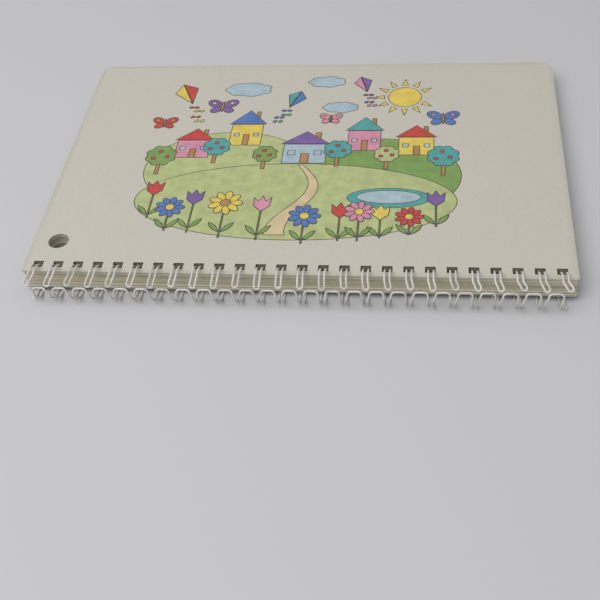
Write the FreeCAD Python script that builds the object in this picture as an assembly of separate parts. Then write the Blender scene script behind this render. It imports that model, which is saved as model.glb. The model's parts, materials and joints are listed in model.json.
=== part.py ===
"""A closed book of punched leaves in card covers, bound along one long edge with twin-loop wire.

The book lies on its back cover with the spine at -Y and +Z up, and the head of the pages is at -X.
Everything is drawn level about the ring axis, which is the axis the leaves turn on.
The book is then laid down, so that the rings and the fore edge of the back cover both touch Z = 0.
Lengths are in millimetres and angles in degrees.
Ring angles start at the fore-edge side, pass over the front cover at 90 and face outwards at 180.
"""
import FreeCAD, Part
import math
import os
from FreeCAD import Vector

# Covers and leaves
BOOK_LENGTH = 224.0
BOOK_DEPTH = 148.0
COVER_THICKNESS = 0.9
LEAF_COUNT = 18
LEAF_THICKNESS = 0.22
LEAF_GAP = 0.11
LEAF_INSET = 0.3
BACK_GAP = 0.5
FORE_CORNER_RADIUS = 6.0
SPINE_CORNER_RADIUS = 1.0

# Leaves are punched a few at a time, in lifts that part a little from each other
LIFT_LEAVES = 3
LIFT_GAP = 0.175
LIFT_STAGGER = 0.12

# Punched holes along the spine, on the three-to-the-inch pitch
HOLE_PITCH = 25.4 / 3
HOLE_END_MARGIN = 6.0
HOLE_SPINE_MARGIN = 2.5
HOLE_FAR_CLEARANCE = 0.3
HOLE_NEAR_CLEARANCE = 0.55
HOLE_SIDE_CLEARANCE = 0.25

# Round hole for hanging the book on a peg
HANG_DIAMETER = 8.8
HANG_FROM_HEAD = 11.1
HANG_FROM_SPINE = 18.0

# Binding wire: hairpin fingers through the holes, joined by round-shouldered bows at the seam
WIRE_DIAMETER = 0.8
RING_ROOM = 2.84
FINGER_SPACING = 2.1
TIP_SPACING = 2.1
BOW_SPACING = 2.9
BOW_BEND_RADIUS = 1.6
BOW_ANGLE = 153.0
TIP_ANGLE = 145.5
TIP_UNEVENNESS = 2.5
TIP_SLANT = 16.0
TIP_LEAN = 2.4
BOW_LEAN = 1.3
HOLE_LEAN = 0.4
SEAM_TWIST = -6.0
LEAN_START_ANGLE = 103.5
LEAN_END_ANGLE = 190.5
CUT_END_ANGLE = 224.0
RING_ARCS = 3
UNEVEN_STEP = 2.4

# How the wire's gap to itself is measured: the step between points, and the stretch counted as one bend
SELF_GAP_STEP = 0.5
ONE_BEND_DIAMETERS = 5

# Below these a bend is drawn as a straight run
STRAIGHT_LENGTH = 1e-6
STRAIGHT_COSINE = 1e-9

# Worked out from the sizes above
WIRE_RADIUS = WIRE_DIAMETER / 2
LIFT_COUNT = math.ceil(LEAF_COUNT / LIFT_LEAVES)
LEAVES_HEIGHT = LEAF_COUNT * LEAF_THICKNESS + (LEAF_COUNT - LIFT_COUNT) * LEAF_GAP + LIFT_COUNT * LIFT_GAP
BLOCK_HEIGHT = 2 * COVER_THICKNESS + LEAVES_HEIGHT + BACK_GAP
HALF_BLOCK = BLOCK_HEIGHT / 2
RING_OUTER_RADIUS = HALF_BLOCK + RING_ROOM
RING_RADIUS = RING_OUTER_RADIUS - WIRE_RADIUS
HOLE_WIDTH = FINGER_SPACING + WIRE_DIAMETER + 2 * (HOLE_LEAN + HOLE_SIDE_CLEARANCE)
HOLE_COUNT = int((BOOK_LENGTH - 2 * HOLE_END_MARGIN) / HOLE_PITCH) + 1
FIRST_HOLE_X = -HOLE_PITCH * (HOLE_COUNT - 1) / 2

# The wire meets the outermost faces of the block at a slant, and the middle of the block square on
SLANT_REACH = math.sqrt(RING_RADIUS ** 2 - HALF_BLOCK ** 2)
HOLE_NEAR_Y = SLANT_REACH - WIRE_RADIUS * RING_RADIUS / SLANT_REACH - HOLE_NEAR_CLEARANCE
HOLE_FAR_Y = RING_OUTER_RADIUS + HOLE_FAR_CLEARANCE
SPINE_Y = HOLE_NEAR_Y - HOLE_SPINE_MARGIN
FORE_Y = SPINE_Y + BOOK_DEPTH


def slide_out(top_z):
    """How far a sheet below the ring axis slides towards the spine before its holes meet the wire."""
    inside = math.sqrt(RING_RADIUS ** 2 - min(top_z, 0) ** 2)
    return RING_OUTER_RADIUS - inside - WIRE_RADIUS * RING_RADIUS / inside


# Laying the book down: it tips about the ring axis until the fore edge is as low as the rings
BACK_FORE_Y = FORE_Y - slide_out(COVER_THICKNESS - HALF_BLOCK)
LAY_DOWN_ANGLE = math.degrees(math.asin(RING_OUTER_RADIUS / math.hypot(BACK_FORE_Y, HALF_BLOCK))
                              - math.atan2(HALF_BLOCK, BACK_FORE_Y))
FORE_REACH = (FORE_Y * math.cos(math.radians(LAY_DOWN_ANGLE))
              + HALF_BLOCK * math.sin(math.radians(LAY_DOWN_ANGLE)))
RING_AXIS = Vector(0, (RING_OUTER_RADIUS - FORE_REACH) / 2, RING_OUTER_RADIUS)
ALONG_SPINE = Vector(1, 0, 0)


def lay_down(shape):
    """Tips a level piece about the ring axis and sets it on Z = 0, centred on the origin."""
    shape.rotate(Vector(0, 0, 0), ALONG_SPINE, -LAY_DOWN_ANGLE)
    shape.translate(RING_AXIS)
    return shape


def hole_x(index):
    return FIRST_HOLE_X + index * HOLE_PITCH


def rounded_outline(x_low, x_high, y_low, y_high):
    """Plate outline with small corners at the spine and rounder ones at the fore edge."""
    corners = [Vector(x_low, y_low, 0), Vector(x_high, y_low, 0),
               Vector(x_high, y_high, 0), Vector(x_low, y_high, 0)]
    radii = [SPINE_CORNER_RADIUS, SPINE_CORNER_RADIUS, FORE_CORNER_RADIUS, FORE_CORNER_RADIUS]
    edges = []
    for index, (corner, radius) in enumerate(zip(corners, radii)):
        before = (corners[index - 1] - corner).normalize()
        following = (index + 1) % len(corners)
        after = (corners[following] - corner).normalize()
        on_arc = corner + (before + after) * radius * (1 - math.sqrt(0.5))
        run_end = corners[following] - after * radii[following]
        edges.append(Part.Arc(corner + before * radius, on_arc, corner + after * radius).toShape())
        edges.append(Part.LineSegment(corner + after * radius, run_end).toShape())
    return Part.Wire(edges)


def square_hole(centre_x, slide):
    low = centre_x - HOLE_WIDTH / 2
    high = centre_x + HOLE_WIDTH / 2
    corners = [Vector(low, HOLE_NEAR_Y - slide, 0), Vector(high, HOLE_NEAR_Y - slide, 0),
               Vector(high, HOLE_FAR_Y - slide, 0), Vector(low, HOLE_FAR_Y - slide, 0)]
    return Part.makePolygon(corners + corners[:1])


def hang_hole():
    centre = Vector(-BOOK_LENGTH / 2 + HANG_FROM_HEAD, SPINE_Y + HANG_FROM_SPINE, 0)
    return Part.Wire([Part.makeCircle(HANG_DIAMETER / 2, centre)])


def punched_plate(bottom_z, thickness, inset, spine_inset):
    """A cover or a leaf: a flat sheet with the row of wire holes and the hang hole."""
    half_length = BOOK_LENGTH / 2 - inset
    slide = slide_out(bottom_z + thickness)
    outline = rounded_outline(-half_length, half_length,
                              SPINE_Y + spine_inset - slide, FORE_Y - inset - slide)
    wires = [outline, hang_hole()] + [square_hole(hole_x(index), slide) for index in range(HOLE_COUNT)]
    sheet = Part.makeFace(wires, "Part::FaceMakerBullseye")
    sheet.translate(Vector(0, 0, bottom_z))
    return lay_down(sheet.extrude(Vector(0, 0, thickness)))


def back_cover():
    return punched_plate(-HALF_BLOCK, COVER_THICKNESS, 0, 0)


def front_cover():
    return punched_plate(HALF_BLOCK - COVER_THICKNESS, COVER_THICKNESS, 0, 0)


def leaf(number):
    """Leaf 1 lies under the front cover. Lifts differ a little in how far their spine edges reach."""
    lift = (number - 1) // LIFT_LEAVES
    gaps = (lift + 1) * LIFT_GAP + (number - 1 - lift) * LEAF_GAP
    bottom_z = HALF_BLOCK - COVER_THICKNESS - number * LEAF_THICKNESS - gaps
    spine_inset = LEAF_INSET + (LIFT_STAGGER if lift % 2 else -LIFT_STAGGER)
    return punched_plate(bottom_z, LEAF_THICKNESS, LEAF_INSET, spine_inset)


def on_ring(x, angle):
    turn = math.radians(angle)
    return Vector(x, RING_RADIUS * math.cos(turn), RING_RADIUS * math.sin(turn))


def along_ring(angle):
    turn = math.radians(angle)
    return Vector(0, -math.sin(turn), math.cos(turn))


def ring_degrees(length):
    return math.degrees(length / RING_RADIUS)


def arc_leaving(start, direction, end):
    """The one circular arc that leaves start along direction and ends at end."""
    chord = end - start
    across = direction - chord * (direction.dot(chord) / chord.dot(chord))
    if across.Length < STRAIGHT_LENGTH:
        return Part.LineSegment(start, end).toShape()
    sagitta = chord.Length / 2 * math.tan(direction.getAngle(chord) / 2)
    middle = (start + end) * 0.5 + across.normalize() * sagitta
    return Part.Arc(start, middle, end).toShape()


def biarc(start, start_direction, end, end_direction):
    """Two arcs that join smoothly and meet both ends along their directions."""
    chord = end - start
    both = start_direction + end_direction
    square = 2 * (start_direction.dot(end_direction) - 1)
    if abs(square) < STRAIGHT_COSINE:
        reach = chord.dot(chord) / (2 * chord.dot(both))
    else:
        slope = chord.dot(both)
        reach = (slope - math.sqrt(slope ** 2 - square * chord.dot(chord))) / square
    middle = (start + end + (start_direction - end_direction) * reach) * 0.5
    return [arc_leaving(start, start_direction, middle),
            arc_leaving(end, end_direction * -1, middle)]


def spread(finger, end_lean):
    """Share of a lean that grows evenly from the middle of the spine to its two ends."""
    return end_lean * hole_x(finger) / hole_x(HOLE_COUNT - 1)


def bow_half(finger, side, held_x):
    """Half of the bow beside a finger, from its middle to where its leg settles on the ring."""
    bow_x = hole_x(finger) + spread(finger, BOW_LEAN)
    neighbour_x = hole_x(finger + side) + spread(finger + side, BOW_LEAN)
    bow_angle = BOW_ANGLE + spread(finger + side / 2, SEAM_TWIST)
    leg_x = bow_x + side * BOW_SPACING / 2
    bend_start = on_ring(leg_x + side * BOW_BEND_RADIUS, bow_angle)
    bend_angle = bow_angle + ring_degrees(BOW_BEND_RADIUS)
    bend_end = on_ring(leg_x, bend_angle)
    settled = on_ring(held_x, LEAN_END_ANGLE)
    edges = [Part.LineSegment(on_ring((bow_x + neighbour_x) / 2, bow_angle), bend_start).toShape()]
    edges += biarc(bend_start, ALONG_SPINE * -side, bend_end, along_ring(bend_angle))
    return edges + biarc(bend_end, along_ring(bend_angle), settled, along_ring(LEAN_END_ANGLE))


def tip_half(finger, side, held_x):
    """From the ring out to the middle of the finger's closed tip, which slants as its finger leans."""
    tip_x = hole_x(finger) + spread(finger, TIP_LEAN)
    uneven = TIP_UNEVENNESS * math.sin(UNEVEN_STEP * finger)
    tip_angle = 360 + TIP_ANGLE + spread(finger, SEAM_TWIST) + uneven
    slant = math.radians(spread(finger, TIP_SLANT))
    across = TIP_SPACING / 2 * math.cos(slant)
    aside = TIP_SPACING / 2 * math.sin(slant)
    round_angle = tip_angle - ring_degrees(across)
    start_angle = round_angle - side * ring_degrees(aside)
    start = on_ring(tip_x - aside + side * across, start_angle)
    start_way = along_ring(start_angle) * math.cos(slant) + ALONG_SPINE * math.sin(slant)
    end_way = ALONG_SPINE * math.cos(slant) - along_ring(tip_angle) * math.sin(slant)
    ring_end = 360 + LEAN_START_ANGLE
    edges = biarc(on_ring(held_x, ring_end), along_ring(ring_end), start, start_way)
    return edges + biarc(start, start_way, on_ring(tip_x, tip_angle), end_way * -side)


def leg(finger, side):
    """One leg of a finger, from its bow or cut end round to the middle of the finger's tip."""
    held_x = hole_x(finger) + spread(finger, HOLE_LEAN) + side * FINGER_SPACING / 2
    has_bow = 0 <= finger + side < HOLE_COUNT
    ring_start = LEAN_END_ANGLE if has_bow else CUT_END_ANGLE
    ring_sweep = 360 + LEAN_START_ANGLE - ring_start
    stops = [ring_start + ring_sweep * step / RING_ARCS for step in range(RING_ARCS + 1)]
    edges = bow_half(finger, side, held_x) if has_bow else []
    for low, high in zip(stops, stops[1:]):
        middle = on_ring(held_x, (low + high) / 2)
        edges.append(Part.Arc(on_ring(held_x, low), middle, on_ring(held_x, high)).toShape())
    return edges + tip_half(finger, side, held_x)


def wire_path():
    """The whole route of the wire, finger by finger, as edges that run on from each other."""
    edges = []
    for finger in range(HOLE_COUNT):
        edges += leg(finger, -1)
        edges += reversed(leg(finger, 1))
    return edges


def least_self_gap(route):
    """Smallest air gap between stretches of the wire that aren't one bend, measured on points."""
    points = route.discretize(Distance=SELF_GAP_STEP)
    beside = int(ONE_BEND_DIAMETERS * WIRE_DIAMETER / SELF_GAP_STEP)
    reach = 2 * len(points) // HOLE_COUNT
    least = min(points[first].distanceToPoint(points[second])
                for first in range(len(points))
                for second in range(first + beside, min(first + reach, len(points))))
    return least - WIRE_DIAMETER


def binding_wire():
    route = Part.Wire(wire_path())
    print("least gap of the wire to itself: %.2f mm" % least_self_gap(route))
    start = on_ring(hole_x(0) - HOLE_LEAN - FINGER_SPACING / 2, CUT_END_ANGLE)
    section = Part.Wire([Part.makeCircle(WIRE_RADIUS, start, along_ring(CUT_END_ANGLE))])
    tube = route.makePipeShell([section], True, False)
    print("wire length %.1f mm, volume over section times length %.5f"
          % (route.Length, tube.Volume / (math.pi * WIRE_RADIUS ** 2 * route.Length)))
    return lay_down(tube)


def main():
    os.makedirs("parts", exist_ok=True)
    pieces = {"back_cover": back_cover(), "front_cover": front_cover(), "binding_wire": binding_wire()}
    for number in range(1, LEAF_COUNT + 1):
        pieces["leaf_%02d" % number] = leaf(number)
    for name, shape in pieces.items():
        shape.exportStep("parts/%s.step" % name)


main()
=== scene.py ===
"""Dresses a closed wire-bound book: card covers, yellowed leaves, coated wire and a printed front.

Everything is in metres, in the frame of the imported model. The spine lies at -Y and +Z is up.
"""

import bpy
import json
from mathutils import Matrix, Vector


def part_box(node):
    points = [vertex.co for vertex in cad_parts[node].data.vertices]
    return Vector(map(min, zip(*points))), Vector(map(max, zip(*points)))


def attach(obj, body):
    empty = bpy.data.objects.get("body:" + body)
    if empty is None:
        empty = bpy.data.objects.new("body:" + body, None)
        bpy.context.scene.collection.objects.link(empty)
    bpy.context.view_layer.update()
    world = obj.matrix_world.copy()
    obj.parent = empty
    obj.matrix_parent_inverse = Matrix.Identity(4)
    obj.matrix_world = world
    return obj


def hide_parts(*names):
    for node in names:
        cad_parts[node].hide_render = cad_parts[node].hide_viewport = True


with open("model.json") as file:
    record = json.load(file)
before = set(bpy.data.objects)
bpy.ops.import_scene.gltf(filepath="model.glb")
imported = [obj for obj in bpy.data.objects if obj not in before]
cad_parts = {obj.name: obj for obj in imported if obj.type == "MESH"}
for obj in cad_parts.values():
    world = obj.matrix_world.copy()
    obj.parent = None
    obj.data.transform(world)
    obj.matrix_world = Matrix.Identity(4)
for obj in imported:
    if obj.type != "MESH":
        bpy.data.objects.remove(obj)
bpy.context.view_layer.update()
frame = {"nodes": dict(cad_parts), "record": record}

import json
import math

import bmesh
import bpy
from bpy.props import FloatProperty, FloatVectorProperty, PointerProperty
from mathutils import Matrix, Vector

bl_info = {
    "name": "Wire-bound book",
    "version": (1, 0, 0),
    "blender": (4, 5, 0),
    "location": "View3D > Sidebar > Book",
    "description": "Finishes, cover print and stage for a book bound with twin-loop wire",
    "category": "Object",
}

MM = 0.001

# The front cover's own axes: x along the spine, y from the spine edge inwards, z up from its outer face
COVER_LOW, COVER_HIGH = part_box("front_cover")
JOINTS = {joint["name"]: joint for joint in frame["record"]["behaviour"]["joints"]}
LAY_DOWN = math.radians((JOINTS["front_cover_turn"]["range_deg"][1] - 180) / 2)
COVER_FACE = Matrix.Translation((0, COVER_LOW[1], COVER_HIGH[2])) @ Matrix.Rotation(-LAY_DOWN, 4, "X")
LEAF_NAMES = sorted(name for name in frame["nodes"] if name.startswith("leaf_"))

# Punched holes: the wire's row on the three-to-the-inch pitch, and the round hole for hanging
HOLE_PITCH = 25.4 / 3 * MM
HOLE_WIDTH = 4.2 * MM
# The row and edge below bound where the walls of the wire's holes get painted shade
HOLE_ROW = (0.5 * MM, 6.3 * MM)
HOLE_EDGE = 0.1 * MM
HANG_HOLE = next(mount for mount in frame["record"]["mounts"] if mount["name"] == "hang_hole")
HANG_EDGE = 0.3 * MM

# Ring axis in metres, and a ring's own axes on it, which tilt with the book
RING_AXIS = Vector(JOINTS["wire_roll"]["pos_m"])
RING_FRAME = Matrix.Translation(RING_AXIS) @ Matrix.Rotation(-LAY_DOWN, 4, "X")

# Binding wire: lengths in millimetres and angles in degrees, but UNEVEN_STEP in radians for each finger.
# Angles round the ring start at the fore-edge side, pass over the front cover at 90 and face out at 180.
WIRE_DIAMETER = 0.8
RING_RADIUS = RING_AXIS.z / MM - WIRE_DIAMETER / 2
FINGER_COUNT = 26
FINGER_PITCH = HOLE_PITCH / MM
FINGER_SPACING = 2.1
TIP_SPACING = 2.1
BOW_SPACING = 2.9
BOW_BEND_RADIUS = 1.6
BOW_ANGLE = 153.0
TIP_ANGLE = 145.5
TIP_UNEVENNESS = 2.5
UNEVEN_STEP = 2.4
TIP_SLANT = 16.0
TIP_LEAN = 2.4
BOW_LEAN = 1.3
HOLE_LEAN = 0.4
SEAM_TWIST = -6.0
LEAN_START_ANGLE = 103.5
LEAN_END_ANGLE = 190.5
CUT_END_ANGLE = 224.0
ALONG_SPINE = Vector((1, 0, 0))

# How finely the wire is drawn: knots round a ring, steps between knots, and extra steps round its section
RING_STEPS = 8
WIRE_STEPS = 5
SECTION_STEPS = 4
LEAST_TURN = 1e-4
WELD_DISTANCE = 0.001 * MM

# Printed picture: inks, layers of ink under each piece, and depth of scallops as a share of the radius
INK_NAMES = ("line", "red", "yellow", "teal", "green", "grass",
             "purple", "blue", "pink", "brown", "sky", "sand")
LAYERS_BELOW = {"printed_hills": 2, "printed_houses": 40, "printed_trees": 80, "printed_flowers": 120,
                "printed_kites": 120}
SCALLOP_DEPTH = 0.14

# Sockets of a Mix node by number, as their names repeat: two colours, their mixture, and two numbers
MIX_A, MIX_B, MIXED = 6, 7, 2
NUMBER_A, NUMBER_B = 2, 3

# Camera sensor in millimetres
SENSOR_WIDTH = 36


def linear_colour(hex_colour):
    """Turns an sRGB hex value into the linear colour that a shader takes."""
    channels = [int(hex_colour[place:place + 2], 16) / 255 for place in (1, 3, 5)]
    return [value / 12.92 if value <= 0.04045 else ((value + 0.055) / 1.055) ** 2.4 for value in channels]


def colour_property(name, description, hex_colour):
    return FloatVectorProperty(name=name, description=description, subtype="COLOR", size=3, min=0, max=1,
                               default=linear_colour(hex_colour))


def length_property(name, description, millimetres):
    return FloatProperty(name=name, description=description, unit="LENGTH", precision=5, min=0,
                         default=millimetres * MM)


class CardSettings(bpy.types.PropertyGroup):
    """The covers' card."""
    card: colour_property("Card", "Uncoated cream card", "#C5C1B6")
    soil: colour_property("Soil", "Card along its handled edges", "#BBB4A2")
    soil_width: length_property("Soil width", "How far the soiled band reaches in from the edges", 3)
    # Painted shade: a dark colour for the walls of the wire's holes, where little light reaches
    hole_wall: colour_property("Hole wall", "Card in the walls of the wire's holes", "#7A7362")


class LeafSettings(bpy.types.PropertyGroup):
    """The leaves' paper."""
    paper: colour_property("Paper", "Paper away from its edges", "#DCD7C8")
    yellowed: colour_property("Yellowed paper", "Paper at its cut edges", "#F4EBD2")
    yellowed_width: length_property("Yellowed width", "How far the yellowing reaches in from the edges", 6)
    # Painted shade: a dark colour for the walls of the wire's holes, where little light reaches
    hole_wall: colour_property("Hole wall", "Paper in the walls of the wire's holes", "#5E5646")
    # In and round the hang hole, the leaves' lifts take a pale tone and a dark tone in turn, following the
    # streaks
    hang_wall: colour_property("Hang hole wall", "Clean layers in the wall of the hang hole", "#FBF4E3")
    hang_soil: colour_property("Hang hole soil", "Soiled layers in the wall of the hang hole", "#9C917B")


class WireSettings(bpy.types.PropertyGroup):
    """The binding wire's coat."""
    coat: colour_property("Coat", "White nylon coat", "#DCDAD4")
    dull: colour_property("Dull coat", "Coat where hands have dulled it", "#C6C2B8")


class PrintSettings(bpy.types.PropertyGroup):
    """The picture printed on the front cover."""
    line_width: length_property("Line width", "Width of the dark outline round a shape", 0.36)
    ink_height: length_property("Ink height", "How far one layer of ink stands above the one below", 0.001)
    line: colour_property("Line", "Outline ink", "#46423E")
    red: colour_property("Red", "Red ink", "#C24A44")
    yellow: colour_property("Yellow", "Yellow ink", "#DCC55E")
    teal: colour_property("Teal", "Teal ink", "#55A09E")
    green: colour_property("Green", "Green ink", "#7E9C58")
    grass: colour_property("Grass", "Thin green wash", "#B4BC86")
    purple: colour_property("Purple", "Purple ink", "#7C619C")
    blue: colour_property("Blue", "Blue ink", "#5878B4")
    pink: colour_property("Pink", "Pink ink", "#D08EA4")
    brown: colour_property("Brown", "Brown ink", "#AE8557")
    sky: colour_property("Pale blue", "Thin blue wash", "#A9BCC4")
    sand: colour_property("Sand", "Thin brown wash", "#D2BF97")


class StageSettings(bpy.types.PropertyGroup):
    """Floor, light and camera."""
    floor: colour_property("Floor", "Plain pale floor", "#C9C9CC")
    floor_size: FloatProperty(name="Floor size", description="Side of the square floor", unit="LENGTH",
                              default=6)
    sky_strength: FloatProperty(name="Sky strength", description="Strength of the light from overhead",
                                default=0.7)
    horizon_strength: FloatProperty(name="Horizon strength", default=0.03,
                                    description="Strength of the light from the sides")
    backdrop_strength: FloatProperty(name="Backdrop strength", description="How pale the backdrop looks",
                                     default=0.55)
    key_power: FloatProperty(name="Key power", description="Power of the large soft lamp", unit="POWER",
                             default=9.0)
    key_size: FloatProperty(name="Key size", description="Width of the soft lamp", unit="LENGTH",
                            default=1.1)
    key_place: FloatVectorProperty(name="Key place", description="Where the soft lamp hangs", subtype="XYZ",
                                   unit="LENGTH", default=(-0.46, -0.42, 1.08))
    lens: FloatProperty(name="Lens", description="Focal length on a 36 mm sensor", default=59.06)
    camera_place: FloatVectorProperty(name="Camera place", subtype="XYZ", unit="LENGTH",
                                      description="From the middle of the cover's spine edge",
                                      default=(0.0526, -0.2726, 0.2759))
    camera_azimuth: FloatProperty(name="Azimuth", description="Turn of the view from the depth direction",
                                  subtype="ANGLE", default=math.radians(-10.39))
    camera_down: FloatProperty(name="Down", description="How far the camera looks down", subtype="ANGLE",
                               default=math.radians(46.33))
    camera_roll: FloatProperty(name="Roll", description="Turn of the picture", subtype="ANGLE",
                               default=math.radians(-6.44))


def add_node(tree, kind, inputs=(), **settings):
    """Adds a shader node with its settings, and fills or links its inputs by name or number."""
    node = tree.nodes.new(kind)
    for name, value in settings.items():
        setattr(node, name, value)
    for name, value in dict(inputs).items():
        if isinstance(value, bpy.types.NodeSocket):
            tree.links.new(value, node.inputs[name])
        else:
            node.inputs[name].default_value = value
    return node


def new_material(name, roughness, ior):
    material = bpy.data.materials.new(name)
    material.use_nodes = True
    shader = material.node_tree.nodes["Principled BSDF"]
    shader.inputs["Roughness"].default_value = roughness
    shader.inputs["IOR"].default_value = ior
    return material, material.node_tree, shader


def opaque(colour, strength=1.0):
    return [min(1, value * strength) for value in colour] + [1]


def grain_scale(millimetres):
    """Noise scale at which one blotch is about this wide on Object coordinates."""
    return 1 / (millimetres * MM)


def edge_nearness(tree, place, low, high, width):
    """1 at a sheet's outer edges, falling to 0 where the band of this width ends."""
    axes = add_node(tree, "ShaderNodeSeparateXYZ", {0: place})
    along = add_node(tree, "ShaderNodeMath", {0: axes.outputs["X"]}, operation="ABSOLUTE")
    from_ends = add_node(tree, "ShaderNodeMath", {0: high[0], 1: along.outputs[0]}, operation="SUBTRACT")
    from_spine = add_node(tree, "ShaderNodeMath", {0: axes.outputs["Y"], 1: low[1]}, operation="SUBTRACT")
    from_fore = add_node(tree, "ShaderNodeMath", {0: high[1], 1: axes.outputs["Y"]}, operation="SUBTRACT")
    sides = add_node(tree, "ShaderNodeMath", {0: from_spine.outputs[0], 1: from_fore.outputs[0]},
                     operation="MINIMUM")
    least = add_node(tree, "ShaderNodeMath", {0: from_ends.outputs[0], 1: sides.outputs[0]},
                     operation="MINIMUM")
    band = add_node(tree, "ShaderNodeMapRange", {"Value": least.outputs[0], "From Min": 0.0,
                                                 "From Max": width, "To Min": 1.0, "To Max": 0.0},
                    interpolation_type="SMOOTHSTEP")
    return band.outputs["Result"]


def hole_shade_mask(tree, coordinates):
    """1 on the upright walls of the wire's holes, which get a dark colour there as painted shade, since
    little light reaches into them.
    """
    axes = add_node(tree, "ShaderNodeSeparateXYZ", {0: coordinates.outputs["Object"]})
    facing = add_node(tree, "ShaderNodeSeparateXYZ", {0: coordinates.outputs["Normal"]})
    pitches = add_node(tree, "ShaderNodeMath", {0: axes.outputs["X"], 1: HOLE_PITCH}, operation="DIVIDE")
    share = add_node(tree, "ShaderNodeMath", {0: pitches.outputs[0]}, operation="FRACT")
    half_width = (HOLE_WIDTH / 2 + HOLE_EDGE) / HOLE_PITCH
    in_width = add_node(tree, "ShaderNodeMath", {0: share.outputs[0], 1: 0.5, 2: half_width},
                        operation="COMPARE")
    row_middle = COVER_LOW[1] + (HOLE_ROW[0] + HOLE_ROW[1]) / 2
    in_row = add_node(tree, "ShaderNodeMath", {0: axes.outputs["Y"], 1: row_middle,
                                               2: (HOLE_ROW[1] - HOLE_ROW[0]) / 2}, operation="COMPARE")
    upright = add_node(tree, "ShaderNodeMath", {0: facing.outputs["Z"], 1: 0.0, 2: 0.5},
                       operation="COMPARE")
    in_hole = add_node(tree, "ShaderNodeMath", {0: in_width.outputs[0], 1: in_row.outputs[0]},
                       operation="MULTIPLY")
    wall = add_node(tree, "ShaderNodeMath", {0: in_hole.outputs[0], 1: upright.outputs[0]},
                    operation="MULTIPLY")
    return wall.outputs[0]


def hang_hole_wall(tree, place):
    """1 in and just round the hang hole."""
    flat = add_node(tree, "ShaderNodeVectorMath", {0: place, 1: (1, 1, 0)}, operation="MULTIPLY")
    axis = (HANG_HOLE["pos_m"][0], HANG_HOLE["pos_m"][1], 0)
    away = add_node(tree, "ShaderNodeVectorMath", {0: flat.outputs[0], 1: axis}, operation="DISTANCE")
    reach = HANG_HOLE["dims"]["r_mm"] * MM + HANG_EDGE
    near = add_node(tree, "ShaderNodeMath", {0: away.outputs["Value"], 1: reach}, operation="LESS_THAN")
    return near.outputs[0]


def card_material(settings):
    """Uncoated board with a machine finish: matt, faintly mottled, soiled where hands hold its edges."""
    material, tree, shader = new_material("uncoated_cream_card", 0.72, 1.47)
    coordinates = add_node(tree, "ShaderNodeTexCoord")
    place = coordinates.outputs["Object"]
    clouds = add_node(tree, "ShaderNodeTexNoise", {"Vector": place, "Scale": grain_scale(45),
                                                   "Detail": 3.0})
    specks = add_node(tree, "ShaderNodeTexNoise", {"Vector": place, "Scale": grain_scale(1.6),
                                                   "Detail": 4.0})
    nearness = edge_nearness(tree, place, COVER_LOW, COVER_HIGH, settings.soil_width)
    patchy = add_node(tree, "ShaderNodeMath", {0: nearness, 1: clouds.outputs["Fac"]}, operation="MULTIPLY")
    tone = add_node(tree, "ShaderNodeMix", {0: clouds.outputs["Fac"], MIX_A: opaque(settings.card),
                                            MIX_B: opaque(settings.card, 1.04)}, data_type="RGBA")
    soiled = add_node(tree, "ShaderNodeMix", {0: patchy.outputs[0], MIX_A: tone.outputs[MIXED],
                                              MIX_B: opaque(settings.soil)}, data_type="RGBA")
    speck = add_node(tree, "ShaderNodeMapRange", {"Value": specks.outputs["Fac"], "From Min": 0.3,
                                                  "From Max": 0.7, "To Min": 0.97, "To Max": 1.02})
    flecked = add_node(tree, "ShaderNodeMix", {0: 1.0, MIX_A: soiled.outputs[MIXED],
                                               MIX_B: speck.outputs["Result"]},
                       data_type="RGBA", blend_type="MULTIPLY")
    # Painted shade: the walls of the wire's holes are darkened, as little light reaches into them
    walls = hole_shade_mask(tree, coordinates)
    final = add_node(tree, "ShaderNodeMix", {0: walls, MIX_A: flecked.outputs[MIXED],
                                             MIX_B: opaque(settings.hole_wall)}, data_type="RGBA")
    tree.links.new(final.outputs[MIXED], shader.inputs["Base Color"])
    # Real card fibres are a few hundredths of a millimetre across, drawn at 0.7 mm so that they show
    fibres = add_node(tree, "ShaderNodeTexNoise", {"Vector": place, "Scale": grain_scale(0.7),
                                                   "Detail": 3.0})
    bump = add_node(tree, "ShaderNodeBump", {"Strength": 0.12, "Distance": 0.1 * MM,
                                             "Height": fibres.outputs["Fac"]})
    tree.links.new(bump.outputs["Normal"], shader.inputs["Normal"])
    return material


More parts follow.
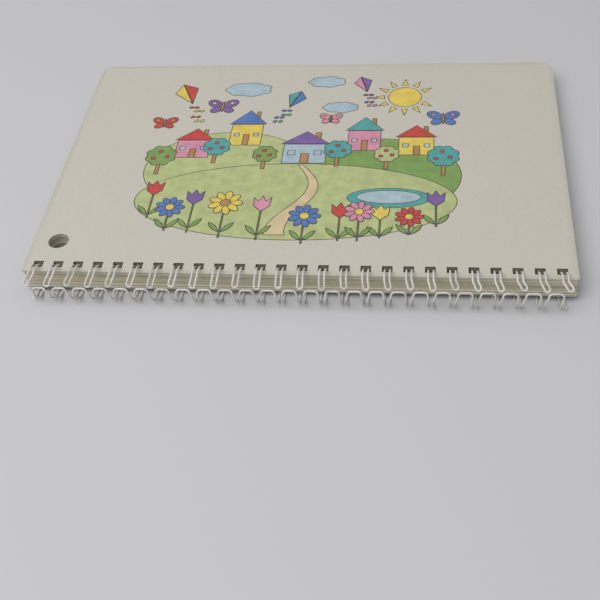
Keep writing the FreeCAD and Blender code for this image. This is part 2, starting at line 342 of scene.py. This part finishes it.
def paper_material(settings, low, high):
    """Uncoated book paper that air and hands have yellowed from its cut edges inwards, lift by lift."""
    material, tree, shader = new_material("uncoated_yellowed_paper", 0.8, 1.47)
    coordinates = add_node(tree, "ShaderNodeTexCoord")
    place = coordinates.outputs["Object"]
    # Lifts of about 2 mm differ in tone, in streaks that follow the sheets and change over about 0.3 m
    squeezed = add_node(tree, "ShaderNodeMapping", {"Vector": place, "Rotation": (-LAY_DOWN, 0, 0),
                                                    "Scale": (150, 150, 1)}, vector_type="TEXTURE")
    layers = add_node(tree, "ShaderNodeTexNoise", {"Vector": squeezed.outputs[0], "Scale": grain_scale(2.0),
                                                   "Detail": 3.0})
    streaks = add_node(tree, "ShaderNodeMapRange", {"Value": layers.outputs["Fac"], "From Min": 0.4,
                                                    "From Max": 0.6})
    blotches = add_node(tree, "ShaderNodeTexNoise", {"Vector": place, "Scale": grain_scale(14),
                                                     "Detail": 3.0})
    nearness = edge_nearness(tree, place, low, high, settings.yellowed_width)
    aged = add_node(tree, "ShaderNodeMix", {0: streaks.outputs["Result"],
                                            MIX_A: opaque(settings.yellowed),
                                            MIX_B: opaque(settings.yellowed, 0.6)}, data_type="RGBA")
    sheet = add_node(tree, "ShaderNodeMix", {0: nearness, MIX_A: opaque(settings.paper),
                                             MIX_B: aged.outputs[MIXED]}, data_type="RGBA")
    # In and round the hang hole, lifts are pale and dark in turn, following the streaks
    hang_layers = add_node(tree, "ShaderNodeMix", {0: streaks.outputs["Result"],
                                                   MIX_A: opaque(settings.hang_wall),
                                                   MIX_B: opaque(settings.hang_soil)}, data_type="RGBA")
    tone = add_node(tree, "ShaderNodeMix", {0: hang_hole_wall(tree, place), MIX_A: sheet.outputs[MIXED],
                                            MIX_B: hang_layers.outputs[MIXED]}, data_type="RGBA")
    worn = add_node(tree, "ShaderNodeMapRange", {"Value": blotches.outputs["Fac"], "From Min": 0.3,
                                                 "From Max": 0.7, "To Min": 0.97, "To Max": 1.02})
    handled = add_node(tree, "ShaderNodeMix", {0: 1.0, MIX_A: tone.outputs[MIXED],
                                               MIX_B: worn.outputs["Result"]},
                       data_type="RGBA", blend_type="MULTIPLY")
    # Painted shade: the walls of the wire's holes are darkened, as little light reaches into them
    walls = hole_shade_mask(tree, coordinates)
    final = add_node(tree, "ShaderNodeMix", {0: walls, MIX_A: handled.outputs[MIXED],
                                             MIX_B: opaque(settings.hole_wall)}, data_type="RGBA")
    tree.links.new(final.outputs[MIXED], shader.inputs["Base Color"])
    bump = add_node(tree, "ShaderNodeBump", {"Strength": 0.1, "Distance": 0.05 * MM,
                                             "Height": blotches.outputs["Fac"]})
    tree.links.new(bump.outputs["Normal"], shader.inputs["Normal"])
    return material


def coat_material(settings):
    """Steel wire in an extruded white nylon coat: smooth and glossy, dulled in patches by handling."""
    material, tree, shader = new_material("white_nylon_coated_wire", 0.3, 1.53)
    place = add_node(tree, "ShaderNodeTexCoord").outputs["Object"]
    rubbed = add_node(tree, "ShaderNodeTexNoise", {"Vector": place, "Scale": grain_scale(6), "Detail": 3.0})
    patches = add_node(tree, "ShaderNodeMapRange", {"Value": rubbed.outputs["Fac"], "From Min": 0.45,
                                                    "From Max": 0.7})
    tone = add_node(tree, "ShaderNodeMix", {0: patches.outputs["Result"], MIX_A: opaque(settings.coat),
                                            MIX_B: opaque(settings.dull)}, data_type="RGBA")
    tree.links.new(tone.outputs[MIXED], shader.inputs["Base Color"])
    gloss = add_node(tree, "ShaderNodeMapRange", {"Value": rubbed.outputs["Fac"], "From Min": 0.3,
                                                  "From Max": 0.7, "To Min": 0.24, "To Max": 0.42})
    tree.links.new(gloss.outputs["Result"], shader.inputs["Roughness"])
    bump = add_node(tree, "ShaderNodeBump", {"Strength": 0.08, "Distance": 0.05 * MM,
                                             "Height": rubbed.outputs["Fac"]})
    tree.links.new(bump.outputs["Normal"], shader.inputs["Normal"])
    return material


def ink_material(name, colour):
    """Offset ink on uncoated card: thin and matt, washed unevenly like a watercolour."""
    material, tree, shader = new_material("printed_ink_" + name, 0.68, 1.47)
    place = add_node(tree, "ShaderNodeTexCoord").outputs["Object"]
    wash = add_node(tree, "ShaderNodeTexNoise", {"Vector": place, "Scale": grain_scale(5), "Detail": 4.0})
    pooled = add_node(tree, "ShaderNodeMapRange", {"Value": wash.outputs["Fac"], "From Min": 0.3,
                                                   "From Max": 0.7})
    tone = add_node(tree, "ShaderNodeMix", {0: pooled.outputs["Result"], MIX_A: opaque(colour, 0.88),
                                            MIX_B: opaque(colour, 1.12)}, data_type="RGBA")
    tree.links.new(tone.outputs[MIXED], shader.inputs["Base Color"])
    return material


def floor_material(colour):
    """A painted board with a plain matt coat."""
    material, tree, shader = new_material("matt_painted_board", 0.85, 1.47)
    place = add_node(tree, "ShaderNodeTexCoord").outputs["Object"]
    clouds = add_node(tree, "ShaderNodeTexNoise", {"Vector": place, "Scale": grain_scale(300),
                                                   "Detail": 2.0})
    tone = add_node(tree, "ShaderNodeMix", {0: clouds.outputs["Fac"], MIX_A: opaque(colour, 0.985),
                                            MIX_B: opaque(colour)}, data_type="RGBA")
    tree.links.new(tone.outputs[MIXED], shader.inputs["Base Color"])
    return material


def dress(node_name, material):
    """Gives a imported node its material, in the slots that it already has."""
    for slot in frame["nodes"][node_name].material_slots:
        slot.material = material


def ink_materials(settings):
    """The inks in their order, made once and then shared."""
    made = []
    for name in INK_NAMES:
        held = bpy.data.materials.get("printed_ink_" + name)
        made.append(held or ink_material(name, getattr(settings, name)))
    return made


class PrintedPicture:
    """Collects inked shapes for one piece of the print, in the cover's own millimetres."""

    def __init__(self, name, settings):
        self.name = name
        self.settings = settings
        self.layer = LAYERS_BELOW[name]
        self.mesh = bmesh.new()

    def ink_in(self, verts, ink):
        """Fills a loop of vertices with ink, with a dark line inside its rim, as a thin closed layer."""
        face = self.mesh.faces.new(verts)
        face.normal_update()
        if face.normal.z < 0:
            face.normal_flip()
        face.material_index = INK_NAMES.index(ink)
        rim = bmesh.ops.inset_region(self.mesh, faces=[face], thickness=self.settings.line_width / MM,
                                     use_boundary=True, use_even_offset=True)["faces"]
        for strip in rim:
            strip.material_index = INK_NAMES.index("line")
        shown = [face] + rim
        raised = bmesh.ops.extrude_face_region(self.mesh, geom=shown)["geom"]
        lifted = [part for part in raised if isinstance(part, bmesh.types.BMVert)]
        height = self.settings.ink_height / MM * self.layer
        bmesh.ops.translate(self.mesh, verts=lifted, vec=(0, 0, height))
        bmesh.ops.reverse_faces(self.mesh, faces=shown)
        self.layer += 1

    def polygon(self, points, ink):
        self.ink_in([self.mesh.verts.new((x, y, 0)) for x, y in points], ink)

    def block(self, x, y, width, height, ink):
        self.polygon([(x, y), (x + width, y), (x + width, y + height), (x, y + height)], ink)

    def round_shape(self, centre, radii, ink, turn=0.0, segments=20, bumps=0):
        """An ellipse, with a scalloped rim if it has bumps."""
        place = (Matrix.Translation((centre[0], centre[1], 0)) @ Matrix.Rotation(math.radians(turn), 4, "Z")
                 @ Matrix.Diagonal((radii[0], radii[1], 1, 1)))
        ring = bmesh.ops.create_circle(self.mesh, segments=segments, radius=1)["verts"]
        if bumps:
            for vert in ring:
                crest = abs(math.sin(bumps / 2 * math.atan2(vert.co.y, vert.co.x)))
                vert.co *= 1 - SCALLOP_DEPTH * (1 - crest)
        bmesh.ops.transform(self.mesh, matrix=place, verts=ring)
        self.ink_in(ring, ink)

    def blade(self, centre, length, width, turn, ink):
        """A pointed leaf: two arcs that meet at its ends."""
        ways = [math.pi * step / 6 for step in range(12)]
        spin = Matrix.Rotation(math.radians(turn), 2)
        shape = [spin @ Vector((math.cos(way) * length / 2, math.sin(way) * abs(math.sin(way)) * width / 2))
                 for way in ways]
        self.polygon([(centre[0] + point.x, centre[1] + point.y) for point in shape], ink)

    def stem(self, foot, head, width=0.9):
        self.polygon([(foot[0] - width / 2, foot[1]), (foot[0] + width / 2, foot[1]),
                      (head[0] + width / 2, head[1]), (head[0] - width / 2, head[1])], "green")

    def finish(self):
        """Lays the picture on the cover and makes it a piece that goes with it."""
        bmesh.ops.scale(self.mesh, verts=self.mesh.verts, vec=(MM, MM, MM))
        bmesh.ops.transform(self.mesh, matrix=COVER_FACE, verts=self.mesh.verts)
        data = bpy.data.meshes.new(self.name)
        self.mesh.to_mesh(data)
        self.mesh.free()
        for material in ink_materials(self.settings):
            data.materials.append(material)
        piece = bpy.data.objects.new(self.name, data)
        bpy.context.collection.objects.link(piece)
        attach(piece, "front_cover")


class BOOK_OT_covers(bpy.types.Operator):
    """Gives both covers their card"""
    bl_idname = "book.covers"
    bl_label = "Card covers"

    def execute(self, context):
        card = card_material(context.scene.book_card)
        dress("front_cover", card)
        dress("back_cover", card)
        return {"FINISHED"}


class BOOK_OT_leaves(bpy.types.Operator):
    """Gives every leaf its yellowed paper"""
    bl_idname = "book.leaves"
    bl_label = "Paper leaves"

    def execute(self, context):
        low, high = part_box(LEAF_NAMES[0])
        paper = paper_material(context.scene.book_leaf, low, high)
        for name in LEAF_NAMES:
            dress(name, paper)
        return {"FINISHED"}


def on_ring(x, angle):
    turn = math.radians(angle)
    return Vector((x, RING_RADIUS * math.cos(turn), RING_RADIUS * math.sin(turn)))


def along_ring(angle):
    turn = math.radians(angle)
    return Vector((0, -math.sin(turn), math.cos(turn)))


def ring_degrees(length):
    return math.degrees(length / RING_RADIUS)


def finger_x(finger):
    return (finger - (FINGER_COUNT - 1) / 2) * FINGER_PITCH


def spread(finger, end_lean):
    """Share of a lean that grows evenly from the middle of the spine to its two ends."""
    return end_lean * finger_x(finger) / finger_x(FINGER_COUNT - 1)


class BOOK_OT_wire(bpy.types.Operator):
    """Winds the twin-loop wire in its nylon coat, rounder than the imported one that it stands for"""
    bl_idname = "book.wire"
    bl_label = "Binding wire"

    def bow(self, finger, side):
        """Places and directions along half of the bow beside a finger."""
        bow_x = finger_x(finger) + spread(finger, BOW_LEAN)
        neighbour_x = finger_x(finger + side) + spread(finger + side, BOW_LEAN)
        bow_angle = BOW_ANGLE + spread(finger + side / 2, SEAM_TWIST)
        bend_angle = bow_angle + ring_degrees(BOW_BEND_RADIUS)
        leg_x = bow_x + side * BOW_SPACING / 2
        return [(on_ring((bow_x + neighbour_x) / 2, bow_angle), ALONG_SPINE * -side),
                (on_ring(leg_x + side * BOW_BEND_RADIUS, bow_angle), ALONG_SPINE * -side),
                (on_ring(leg_x, bend_angle), along_ring(bend_angle))]

    def tip(self, finger, side):
        """Places and directions round half of a finger's closed tip, which slants as its finger leans."""
        tip_x = finger_x(finger) + spread(finger, TIP_LEAN)
        uneven = TIP_UNEVENNESS * math.sin(UNEVEN_STEP * finger)
        tip_angle = 360 + TIP_ANGLE + spread(finger, SEAM_TWIST) + uneven
        slant = math.radians(spread(finger, TIP_SLANT))
        across = TIP_SPACING / 2 * math.cos(slant)
        aside = TIP_SPACING / 2 * math.sin(slant)
        start_angle = tip_angle - ring_degrees(across) - side * ring_degrees(aside)
        start_way = along_ring(start_angle) * math.cos(slant) + ALONG_SPINE * math.sin(slant)
        end_way = ALONG_SPINE * math.cos(slant) - along_ring(tip_angle) * math.sin(slant)
        return [(on_ring(tip_x - aside + side * across, start_angle), start_way),
                (on_ring(tip_x, tip_angle), end_way * -side)]

    def leg(self, finger, side):
        """One leg of a finger, from its bow or cut end round to the middle of the finger's tip."""
        held_x = finger_x(finger) + spread(finger, HOLE_LEAN) + side * FINGER_SPACING / 2
        has_bow = 0 <= finger + side < FINGER_COUNT
        ring_start = LEAN_END_ANGLE if has_bow else CUT_END_ANGLE
        sweep = 360 + LEAN_START_ANGLE - ring_start
        stops = [ring_start + sweep * step / RING_STEPS for step in range(RING_STEPS + 1)]
        ring = [(on_ring(held_x, angle), along_ring(angle)) for angle in stops]
        return (self.bow(finger, side) if has_bow else []) + ring + self.tip(finger, side)

    def route(self):
        """The whole wire, finger by finger. Neighbouring legs share the middle of their tip or bow."""
        knots = []
        for finger in range(FINGER_COUNT):
            outward = self.leg(finger, -1)
            inward = [(place, -way) for place, way in reversed(self.leg(finger, 1))]
            knots += outward[1 if finger else 0:] + inward[1:]
        return [(RING_FRAME @ (place * MM), RING_FRAME.to_3x3() @ way) for place, way in knots]

    def tube(self, knots):
        """A round tube along one curve, whose handles make each stretch as near an arc as it can be."""
        curve = bpy.data.curves.new("wire_route", "CURVE")
        curve.dimensions = "3D"
        curve.bevel_depth = WIRE_DIAMETER / 2 * MM
        curve.bevel_resolution = SECTION_STEPS
        curve.resolution_u = WIRE_STEPS
        curve.use_fill_caps = True
        points = curve.splines.new("BEZIER").bezier_points
        points.add(len(knots) - 1)
        for point, knot in zip(points, knots):
            point.handle_left_type = point.handle_right_type = "FREE"
            point.co = point.handle_left = point.handle_right = knot[0]
        for index, ((start, start_way), (end, end_way)) in enumerate(zip(knots, knots[1:])):
            turn = max(start_way.angle(end_way), LEAST_TURN)
            reach = (end - start).length * 2 / 3 * math.tan(turn / 4) / math.sin(turn / 2)
            points[index].handle_right = start + start_way * reach
            points[index + 1].handle_left = end - end_way * reach
        carrier = bpy.data.objects.new("wire_route", curve)
        bpy.context.collection.objects.link(carrier)
        data = bpy.data.meshes.new_from_object(carrier.evaluated_get(bpy.context.evaluated_depsgraph_get()))
        bpy.data.objects.remove(carrier)
        return data

    def execute(self, context):
        data = self.tube(self.route())
        wire = bmesh.new()
        wire.from_mesh(data)
        bmesh.ops.remove_doubles(wire, verts=wire.verts, dist=WELD_DISTANCE)
        bmesh.ops.recalc_face_normals(wire, faces=wire.faces)
        # The sides are all quads, and the caps at the cut ends stay flat
        for face in wire.faces:
            face.smooth = len(face.verts) == 4
        wire.to_mesh(data)
        wire.free()
        data.materials.clear()
        data.materials.append(coat_material(context.scene.book_wire))
        piece = bpy.data.objects.new("twin_loop_wire", data)
        bpy.context.collection.objects.link(piece)
        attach(piece, "binding_wire")
        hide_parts("binding_wire")
        return {"FINISHED"}


class BOOK_OT_print_hills(bpy.types.Operator):
    """Prints the sun, the clouds, the hills and the path"""
    bl_idname = "book.print_hills"
    bl_label = "Printed hills"

    def sun(self, picture, x, y):
        """A disc with twelve pointed rays that stand clear of it."""
        disc_radius, ray_foot, ray_tip, ray_half_width = 8, 9.5, 15, 1.7
        middle = Vector((x, y))
        for ray in range(12):
            turn = math.radians(30 * ray)
            way = Vector((math.cos(turn), math.sin(turn)))
            aside = Vector((way.y, -way.x)) * ray_half_width
            foot = middle + way * ray_foot
            picture.polygon([foot + aside, middle + way * ray_tip, foot - aside], "yellow")
        picture.round_shape(middle, (disc_radius, disc_radius), "yellow", segments=32)

    def path(self, picture):
        """A winding path that widens towards the front."""
        step_count, far_half_width, widening = 14, 1.4, 3.2
        far_x, far_y, length, swing, winding = -3, 69, 46, 7, 5
        shares = [step / step_count for step in range(step_count + 1)]
        middle = [(far_x + swing * math.sin(winding * share), far_y - length * share)
                  for share in shares]
        left = [(x - far_half_width - widening * share, y) for (x, y), share in zip(middle, shares)]
        right = [(x + far_half_width + widening * share, y) for (x, y), share in zip(middle, shares)]
        picture.polygon(left + right[::-1], "sand")

    def execute(self, context):
        picture = PrintedPicture("printed_hills", context.scene.book_print)
        self.sun(picture, 42, 120)
        for x, y, size in ((-34, 127, 1.0), (4, 133, 0.8), (12, 112, 0.75)):
            picture.round_shape((x, y), (12 * size, 6 * size), "sky", segments=42, bumps=7)
        for centre, radii, ink in (((-36, 66), (38, 27), "grass"), ((32, 62), (36, 26), "green"),
                                   ((-4, 45), (70, 25), "grass")):
            picture.round_shape(centre, radii, ink, segments=64)
        self.path(picture)
        picture.round_shape((37, 47), (18, 6.5), "teal", segments=36)
        picture.round_shape((37, 47.6), (14, 4.4), "sky", segments=36)
        picture.finish()
        return {"FINISHED"}


class BOOK_OT_print_houses(bpy.types.Operator):
    """Prints the row of houses on the hills"""
    bl_idname = "book.print_houses"
    bl_label = "Printed houses"

    # Left edge, foot, width and height, then the inks of wall and roof
    houses = ((-62, 74, 16, 13, "pink", "red"), (-38, 83, 15, 16, "yellow", "blue"),
              (-12, 70, 20, 14, "sky", "purple"), (17, 79, 15, 15, "pink", "teal"),
              (40, 76, 16, 13, "yellow", "red"))

    def house(self, picture, x, y, width, height, wall, roof):
        """A gabled house with a door, windows and a chimney."""
        eave, overhang = y + height, 1.5
        ridge = (x + width / 2, eave + height * 0.68)
        pane = width * 0.18
        picture.block(x + width * 0.7, eave, width * 0.14, height * 0.62, "brown")
        picture.block(x, y, width, height, wall)
        picture.polygon([(x - overhang, eave), (x + width + overhang, eave), ridge], roof)
        picture.block(x + width * 0.41, y, width * 0.2, height * 0.52, "brown")
        for share in (0.11, 0.71):
            picture.block(x + width * share, y + height * 0.42, pane, pane, "sky")

    def execute(self, context):
        picture = PrintedPicture("printed_houses", context.scene.book_print)
        for house in self.houses:
            self.house(picture, *house)
        picture.finish()
        return {"FINISHED"}


class BOOK_OT_print_trees(bpy.types.Operator):
    """Prints the trees with their fruit"""
    bl_idname = "book.print_trees"
    bl_label = "Printed trees"

    # Middle of the foot, size as a factor, and the crown's ink
    trees = ((-68, 62, 1.0, "green"), (-43, 70, 0.9, "teal"), (-20, 66, 0.8, "green"),
             (13, 68, 0.9, "teal"), (35, 66, 0.8, "grass"), (60, 62, 1.0, "teal"))

    def tree(self, picture, x, y, size, ink):
        """A trunk, a scalloped crown and three fruits."""
        crown_radius, fruit_radius = 7.5 * size, 1.2
        picture.block(x - 1, y, 2, 9 * size, "brown")
        picture.round_shape((x, y + 13.5 * size), (crown_radius, crown_radius), ink, segments=48, bumps=8)
        for aside, height in ((-3.2, 11.5), (3, 12.5), (-0.4, 16.5)):
            picture.round_shape((x + aside * size, y + height * size), (fruit_radius, fruit_radius), "red",
                                segments=10)

    def execute(self, context):
        picture = PrintedPicture("printed_trees", context.scene.book_print)
        for tree in self.trees:
            self.tree(picture, *tree)
        picture.finish()
        return {"FINISHED"}


class BOOK_OT_print_flowers(bpy.types.Operator):
    """Prints the flowers in the meadow"""
    bl_idname = "book.print_flowers"
    bl_label = "Printed flowers"

    # Foot of the stalk, its height and the ink
    tulips = ((-66, 33, 17, "red"), (-47, 24, 20, "purple"), (-17, 20, 20, "pink"),
              (17, 20, 16, "red"), (34, 22, 13, "yellow"), (57, 29, 15, "purple"))

    # Foot of the stalk, its height, the flower's radius, and the inks of petals and heart
    daisies = ((-57, 25, 15, 6.5, "blue", "yellow"), (-33, 21, 22, 7.5, "yellow", "brown"),
               (2, 18, 17, 7.0, "blue", "yellow"), (25, 20, 18, 6.5, "pink", "yellow"),
               (46, 24, 11, 6.0, "red", "yellow"))

    def stalk(self, picture, x, y, height):
        leaf_length, leaf_width, leaf_lean = 8, 2.6, 40
        picture.stem((x, y), (x, y + height))
        for side in (-1, 1):
            picture.blade((x + side * 3, y + height * 0.3), leaf_length, leaf_width,
                          90 - side * leaf_lean, "green")

    def tulip(self, picture, x, y, height, ink):
        self.stalk(picture, x, y, height)
        top = y + height
        picture.polygon([(x - 3.6, top + 1), (x, top - 2.4), (x + 3.6, top + 1), (x + 4.0, top + 7),
                         (x + 1.7, top + 4.6), (x, top + 8), (x - 1.7, top + 4.6), (x - 4.0, top + 7)], ink)

    def daisy(self, picture, x, y, height, radius, ink, heart):
        """A round flower: nine long petals about a disc."""
        reach = radius * 0.62
        petal_radii = (radius * 0.42, radius * 0.25)
        heart_radius = radius * 0.33
        self.stalk(picture, x, y, height)
        for petal in range(9):
            turn = math.radians(40 * petal)
            picture.round_shape((x + reach * math.cos(turn), y + height + reach * math.sin(turn)),
                                petal_radii, ink, math.degrees(turn), segments=14)
        picture.round_shape((x, y + height), (heart_radius, heart_radius), heart, segments=16)

    def execute(self, context):
        picture = PrintedPicture("printed_flowers", context.scene.book_print)
        for tulip in self.tulips:
            self.tulip(picture, *tulip)
        for daisy in self.daisies:
            self.daisy(picture, *daisy)
        picture.finish()
        return {"FINISHED"}


class BOOK_OT_print_kites(bpy.types.Operator):
    """Prints the kites and the butterflies"""
    bl_idname = "book.print_kites"
    bl_label = "Printed kites and butterflies"

    # Middle, size as a factor, lean in degrees, and two inks
    kites = ((-64, 124, 1.2, 24, ("red", "yellow")), (-10, 119, 0.95, -20, ("blue", "teal")),
             (22, 131, 0.9, 16, ("purple", "pink")))

    # Middle, size as a factor, and the inks of wings and spots
    butterflies = ((-45, 113, 1.1, "purple", "yellow"), (60, 103, 1.1, "blue", "pink"),
                   (-71, 100, 0.9, "red", "yellow"), (8, 103, 0.8, "pink", "yellow"))

    def kite(self, picture, x, y, size, lean, inks):
        """A diamond in two inks, with bows along its tail."""
        spin = Matrix.Rotation(math.radians(lean), 2)
        top, right, foot, left = [Vector((x, y)) + spin @ Vector(corner) * size
                                  for corner in ((0, 7), (5, 2), (0, -8), (-5, 2))]
        picture.polygon([top, right, foot], inks[0])
        picture.polygon([top, foot, left], inks[1])
        tail_start, tail_step, tail_swing = 2.6, 3.2, 1.4
        bow_length, bow_width = 2.8, 1.9
        for bow in range(4):
            hang = Vector((tail_swing * math.sin(2 * bow), -tail_start - tail_step * bow))
            knot = foot + spin @ hang * size
            for side in (-1, 1):
                picture.blade(knot + Vector((side * 1.3, 0)), bow_length, bow_width, 15 * bow,
                              inks[bow % 2])

    def butterfly(self, picture, x, y, size, ink, spot):
        """Two wings and a spot on each side of a slim body."""
        for side in (-1, 1):
            upper = (x + side * 3.6 * size, y + 2.2 * size)
            lower = (x + side * 2.8 * size, y - 2.4 * size)
            picture.round_shape(upper, (3.6 * size, 2.6 * size), ink, side * 35)
            picture.round_shape(lower, (2.6 * size, 2 * size), ink, side * -30)
            picture.round_shape((x + side * 4 * size, y + 2.5 * size), (1.2 * size, size), spot,
                                segments=12)
        picture.round_shape((x, y), (0.7 * size, 4 * size), "brown", segments=12)

    def execute(self, context):
        picture = PrintedPicture("printed_kites", context.scene.book_print)
        for kite in self.kites:
            self.kite(picture, *kite)
        for butterfly in self.butterflies:
            self.butterfly(picture, *butterfly)
        picture.finish()
        return {"FINISHED"}


class BOOK_OT_stage(bpy.types.Operator):
    """Makes the floor, the soft light and the camera"""
    bl_idname = "book.stage"
    bl_label = "Floor, light and camera"

    def floor(self, settings):
        grid = bmesh.new()
        bmesh.ops.create_grid(grid, x_segments=2, y_segments=2, size=settings.floor_size / 2)
        data = bpy.data.meshes.new("floor")
        grid.to_mesh(data)
        grid.free()
        data.materials.append(floor_material(settings.floor))
        floor = bpy.data.objects.new("floor", data)
        bpy.context.collection.objects.link(floor)

    def light(self, context, settings):
        world = context.scene.world or bpy.data.worlds.new("even_light")
        context.scene.world = world
        world.use_nodes = True
        tree = world.node_tree
        # Soft light that weakens towards the horizon, and a pale backdrop for camera, mirrors and glass
        direction = add_node(tree, "ShaderNodeTexCoord").outputs["Generated"]
        height = add_node(tree, "ShaderNodeSeparateXYZ", {0: direction})
        glow = add_node(tree, "ShaderNodeMapRange", {"Value": height.outputs["Z"], "From Min": 0.0,
                                                     "From Max": 1.0, "To Min": settings.horizon_strength,
                                                     "To Max": settings.sky_strength})
        rays = add_node(tree, "ShaderNodeLightPath").outputs
        mirrored = add_node(tree, "ShaderNodeMath", {0: rays["Is Glossy Ray"],
                                                     1: rays["Is Transmission Ray"]}, operation="MAXIMUM")
        seen = add_node(tree, "ShaderNodeMath", {0: rays["Is Camera Ray"], 1: mirrored.outputs[0]},
                        operation="MAXIMUM")
        strength = add_node(tree, "ShaderNodeMix", {0: seen.outputs[0], NUMBER_A: glow.outputs["Result"],
                                                    NUMBER_B: settings.backdrop_strength},
                            data_type="FLOAT")
        backdrop = tree.nodes["Background"]
        backdrop.inputs["Color"].default_value = (1, 1, 1, 1)
        tree.links.new(strength.outputs[0], backdrop.inputs["Strength"])
        lamp = bpy.data.lights.new("soft_key", "AREA")
        lamp.energy = settings.key_power
        lamp.shape = "DISK"
        lamp.size = settings.key_size
        key = bpy.data.objects.new("soft_key", lamp)
        key.location = settings.key_place
        key.rotation_euler = (-Vector(settings.key_place)).to_track_quat("-Z", "Y").to_euler()
        bpy.context.collection.objects.link(key)

    def camera(self, context, settings):
        azimuth, down, roll = settings.camera_azimuth, settings.camera_down, settings.camera_roll
        forward = Vector((math.sin(azimuth) * math.cos(down), math.cos(azimuth) * math.cos(down),
                          -math.sin(down)))
        level = forward.cross(Vector((0, 0, 1))).normalized()
        upright = level.cross(forward)
        right = level * math.cos(roll) + upright * math.sin(roll)
        up = upright * math.cos(roll) - level * math.sin(roll)
        turned = Matrix((right, up, -forward)).transposed().to_4x4()
        data = bpy.data.cameras.new("camera")
        data.lens = settings.lens
        data.sensor_width = SENSOR_WIDTH
        camera = bpy.data.objects.new("camera", data)
        camera.matrix_world = COVER_FACE @ Matrix.Translation(settings.camera_place) @ turned
        bpy.context.collection.objects.link(camera)
        context.scene.camera = camera

    def execute(self, context):
        settings = context.scene.book_stage
        self.floor(settings)
        self.light(context, settings)
        self.camera(context, settings)
        context.scene.view_settings.view_transform = "Standard"
        return {"FINISHED"}


class BOOK_PT_panel(bpy.types.Panel):
    """Lists the book's pieces in the sidebar"""
    bl_idname = "BOOK_PT_panel"
    bl_label = "Wire-bound book"
    bl_space_type = "VIEW_3D"
    bl_region_type = "UI"
    bl_category = "Book"

    def draw(self, context):
        for operator in OPERATORS:
            self.layout.operator(operator.bl_idname)


SETTINGS = {"book_card": CardSettings, "book_leaf": LeafSettings, "book_wire": WireSettings,
            "book_print": PrintSettings, "book_stage": StageSettings}
OPERATORS = (BOOK_OT_covers, BOOK_OT_leaves, BOOK_OT_wire, BOOK_OT_print_hills, BOOK_OT_print_houses,
             BOOK_OT_print_trees, BOOK_OT_print_flowers, BOOK_OT_print_kites, BOOK_OT_stage)


def register():
    for group in SETTINGS.values():
        bpy.utils.register_class(group)
    for operator in OPERATORS:
        bpy.utils.register_class(operator)
    bpy.utils.register_class(BOOK_PT_panel)
    for name, group in SETTINGS.items():
        setattr(bpy.types.Scene, name, PointerProperty(type=group))


def unregister():
    for name in SETTINGS:
        delattr(bpy.types.Scene, name)
    bpy.utils.unregister_class(BOOK_PT_panel)
    for operator in reversed(OPERATORS):
        bpy.utils.unregister_class(operator)
    for group in SETTINGS.values():
        bpy.utils.unregister_class(group)


def main():
    register()
    for operator in OPERATORS:
        group, action = operator.bl_idname.split(".")
        getattr(getattr(bpy.ops, group), action)()


if __name__ == "__main__":
    main()
